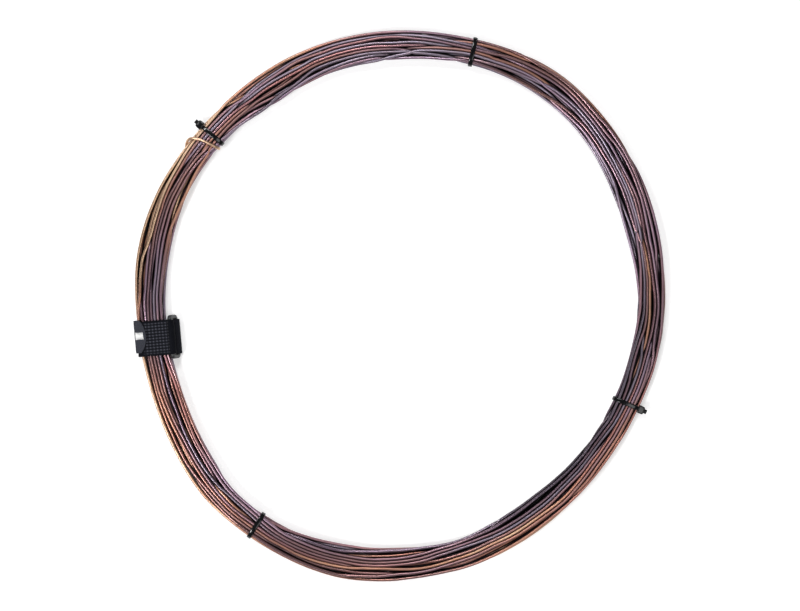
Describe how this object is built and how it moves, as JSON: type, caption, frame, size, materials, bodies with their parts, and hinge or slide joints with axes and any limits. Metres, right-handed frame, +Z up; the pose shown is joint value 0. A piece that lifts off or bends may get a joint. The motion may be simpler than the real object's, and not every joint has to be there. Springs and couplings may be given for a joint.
{
  "type": "coil of copper wire",
  "caption": "Loose ring coil of bare copper wire, its turns gathered in one flat bundle and held by small cable ties and a hook-and-loop strap with a ring buckle.",
  "frame": {"origin": "middle of the coil's outline, on the floor it lies on", "axes": "+Z up out of the floor, through the coil's eye; +Y to the side with the tie whose head is underneath and nearest the long way of the oval; -X to the strap"},
  "size_m": [0.2927, 0.3025, 0.0117],
  "materials": {
    "copper": "dull, oxidised bare copper",
    "tie_nylon": "satin black nylon",
    "strap_fabric": "woven black hook-and-loop tape",
    "buckle_plastic": "semi-gloss black moulded plastic"
  },
  "bodies": {
    "root": {"wire_coil": "copper", "tie_top": "tie_nylon", "tie_upper_left": "tie_nylon", "tie_lower_left": "tie_nylon", "tie_right": "tie_nylon", "strap": "strap_fabric", "buckle": "buckle_plastic"}
  },
  "joints": []
}
